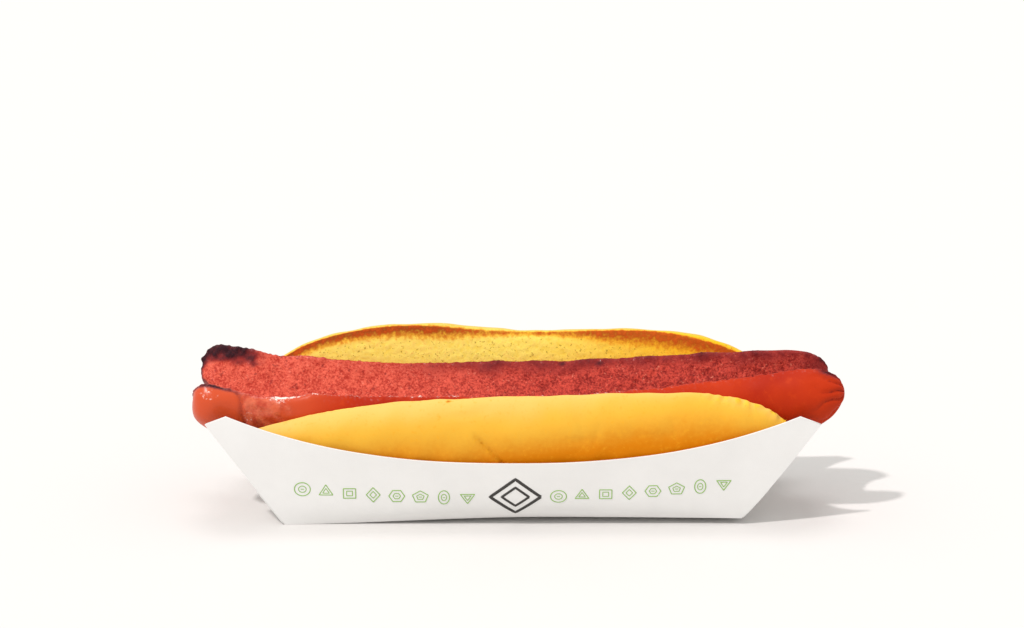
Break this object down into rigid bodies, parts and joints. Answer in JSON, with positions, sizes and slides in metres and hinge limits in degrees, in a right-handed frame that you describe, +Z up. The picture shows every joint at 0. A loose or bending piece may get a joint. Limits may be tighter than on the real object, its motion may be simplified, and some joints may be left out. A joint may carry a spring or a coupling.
{
  "type": "hot dog in a paperboard tray",
  "caption": "Hot dog: a griddled frankfurter, split lengthwise and opened, lying in a hinge-cut soft roll that sits in a folded paperboard boat tray.",
  "frame": {"origin": "middle of the tray's flat underside, on the surface it stands on", "axes": "+X along the roll, +Y across it away from the front wall, +Z up"},
  "size_m": [0.1888, 0.055, 0.0482],
  "materials": {
    "tray_board": "smooth white paperboard with a faint sheen and a small green and black print",
    "bun_crust": "soft golden bread crust, yellow crumb toasted brown at the rim",
    "frankfurter_meat": "seared granular cut face, smooth glossy skin, charred edges"
  },
  "bodies": {
    "root": {"tray": "tray_board", "bun": "bun_crust", "frankfurter": "frankfurter_meat"}
  },
  "joints": []
}
